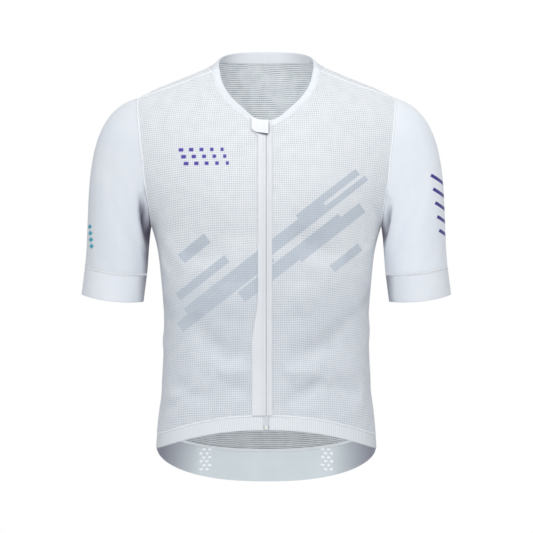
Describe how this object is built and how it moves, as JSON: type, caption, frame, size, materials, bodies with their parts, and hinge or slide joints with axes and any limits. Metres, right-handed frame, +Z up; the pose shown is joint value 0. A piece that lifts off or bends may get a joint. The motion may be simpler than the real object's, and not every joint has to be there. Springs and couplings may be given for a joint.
{
  "type": "cycling jersey",
  "caption": "Pale short-sleeved cycling jersey filled out as worn, with a full-length front zip, a low neckband, deep cuffs, a dropped tail with an elastic band and three flat back pockets.",
  "frame": {"origin": "midway between the shoulders at the height of the neck's sides, where the wearer's shoulders hold the garment", "axes": "+Z up, -Y towards the wearer's front, +X towards the wearer's left"},
  "size_m": [0.571, 0.2158, 0.686],
  "materials": {
    "mesh_knit": "matt open knit",
    "sleeve_knit": "smooth matt stretch knit",
    "band_knit": "smooth matt doubled knit",
    "pocket_knit": "matt knit",
    "elastic_band": "smooth elastic",
    "zip_tape": "fine woven tape",
    "zip_metal": "dark lacquered zinc",
    "zip_box": "moulded"
  },
  "bodies": {
    "jersey": {"front_left": "mesh_knit", "front_right": "mesh_knit", "hem_front_left": "band_knit", "hem_front_right": "band_knit", "back": "mesh_knit", "gripper_band": "elastic_band", "sleeve_left": "sleeve_knit", "sleeve_right": "sleeve_knit", "cuff_left": "band_knit", "cuff_right": "band_knit", "neckband": "band_knit", "zip_tape_left": "zip_tape", "zip_tape_right": "zip_tape", "placket_left": "band_knit", "placket_right": "band_knit", "zip_slider": "zip_metal", "zip_box": "zip_box", "zip_flap": "band_knit", "pocket_middle": "pocket_knit", "pocket_left": "pocket_knit", "pocket_right": "pocket_knit"},
    "zip_pull": {"zip_pull": "zip_metal"}
  },
  "joints": [
    {"name": "pull_swing", "type": "hinge", "parent": "jersey", "child": "zip_pull", "pos_m": [0, -0.08066, -0.10215], "axis": [-1, 0, 0], "range_deg": [0, 5]}
  ]
}
